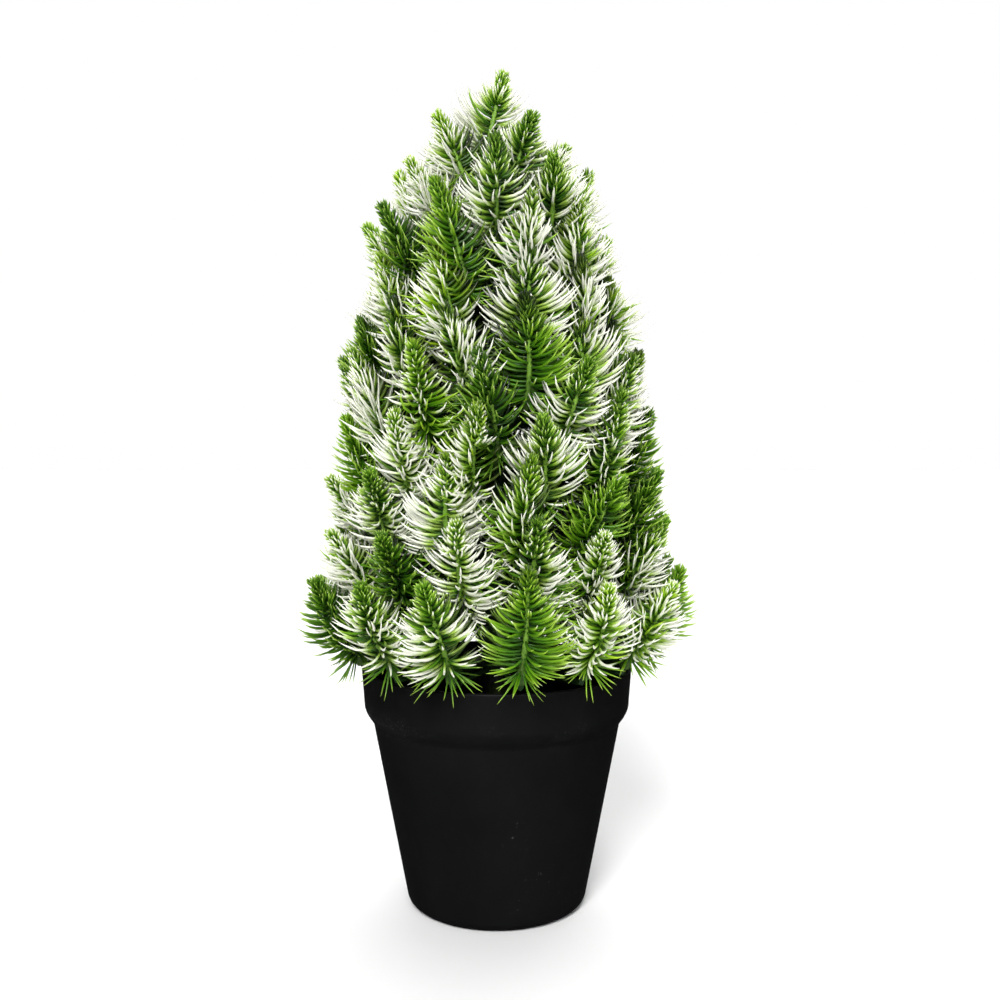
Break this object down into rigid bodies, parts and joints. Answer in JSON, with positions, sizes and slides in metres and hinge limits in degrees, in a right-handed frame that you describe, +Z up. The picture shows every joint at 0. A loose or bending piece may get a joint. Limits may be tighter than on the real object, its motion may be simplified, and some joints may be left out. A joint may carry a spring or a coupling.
{
  "type": "artificial tabletop tree",
  "caption": "Cone-shaped artificial pine tree with frosted sprigs on a stem with stacked whorls, standing in a weighted tapered plastic pot.",
  "frame": {"origin": "on the floor under the middle of the pot", "axes": "+Z up along the stem, -Y the front, +X to the right of someone facing the front"},
  "size_m": [0.186, 0.1844, 0.4007],
  "materials": {
    "pot_plastic": "matte",
    "black_plastic": "matte",
    "cement": "matte",
    "stem_plastic": "satin",
    "steel": "satin",
    "whorl_plastic": "satin",
    "pine_plastic": "satin"
  },
  "bodies": {
    "root": {"core_rod": "steel", "leader_sprig": "pine_plastic", "pot": "pot_plastic", "pot_weight": "cement", "spray_01_1": "pine_plastic", "spray_01_2": "pine_plastic", "spray_01_3": "pine_plastic", "spray_01_4": "pine_plastic", "spray_01_5": "pine_plastic", "spray_02_1": "pine_plastic", "spray_02_2": "pine_plastic", "spray_02_3": "pine_plastic", "spray_02_4": "pine_plastic", "spray_02_5": "pine_plastic", "spray_03_1": "pine_plastic", "spray_03_2": "pine_plastic", "spray_03_3": "pine_plastic", "spray_03_4": "pine_plastic", "spray_04_1": "pine_plastic", "spray_04_2": "pine_plastic", "spray_04_3": "pine_plastic", "spray_04_4": "pine_plastic", "spray_05_1": "pine_plastic", "spray_05_2": "pine_plastic", "spray_05_3": "pine_plastic", "spray_05_4": "pine_plastic", "spray_06_1": "pine_plastic", "spray_06_2": "pine_plastic", "spray_06_3": "pine_plastic", "spray_06_4": "pine_plastic", "spray_07_1": "pine_plastic", "spray_07_2": "pine_plastic", "spray_07_3": "pine_plastic", "spray_07_4": "pine_plastic", "spray_08_1": "pine_plastic", "spray_08_2": "pine_plastic", "spray_08_3": "pine_plastic", "spray_08_4": "pine_plastic", "spray_09_1": "pine_plastic", "spray_09_2": "pine_plastic", "spray_09_3": "pine_plastic", "spray_10_1": "pine_plastic", "spray_10_2": "pine_plastic", "stem_socket": "black_plastic", "stem_tube": "stem_plastic", "stop_ring": "black_plastic", "top_cap": "whorl_plastic", "weight_cover": "black_plastic", "whorl_01": "whorl_plastic", "whorl_02": "whorl_plastic", "whorl_03": "whorl_plastic", "whorl_04": "whorl_plastic", "whorl_05": "whorl_plastic", "whorl_06": "whorl_plastic", "whorl_07": "whorl_plastic", "whorl_08": "whorl_plastic", "whorl_09": "whorl_plastic", "whorl_10": "whorl_plastic"}
  },
  "joints": []
}
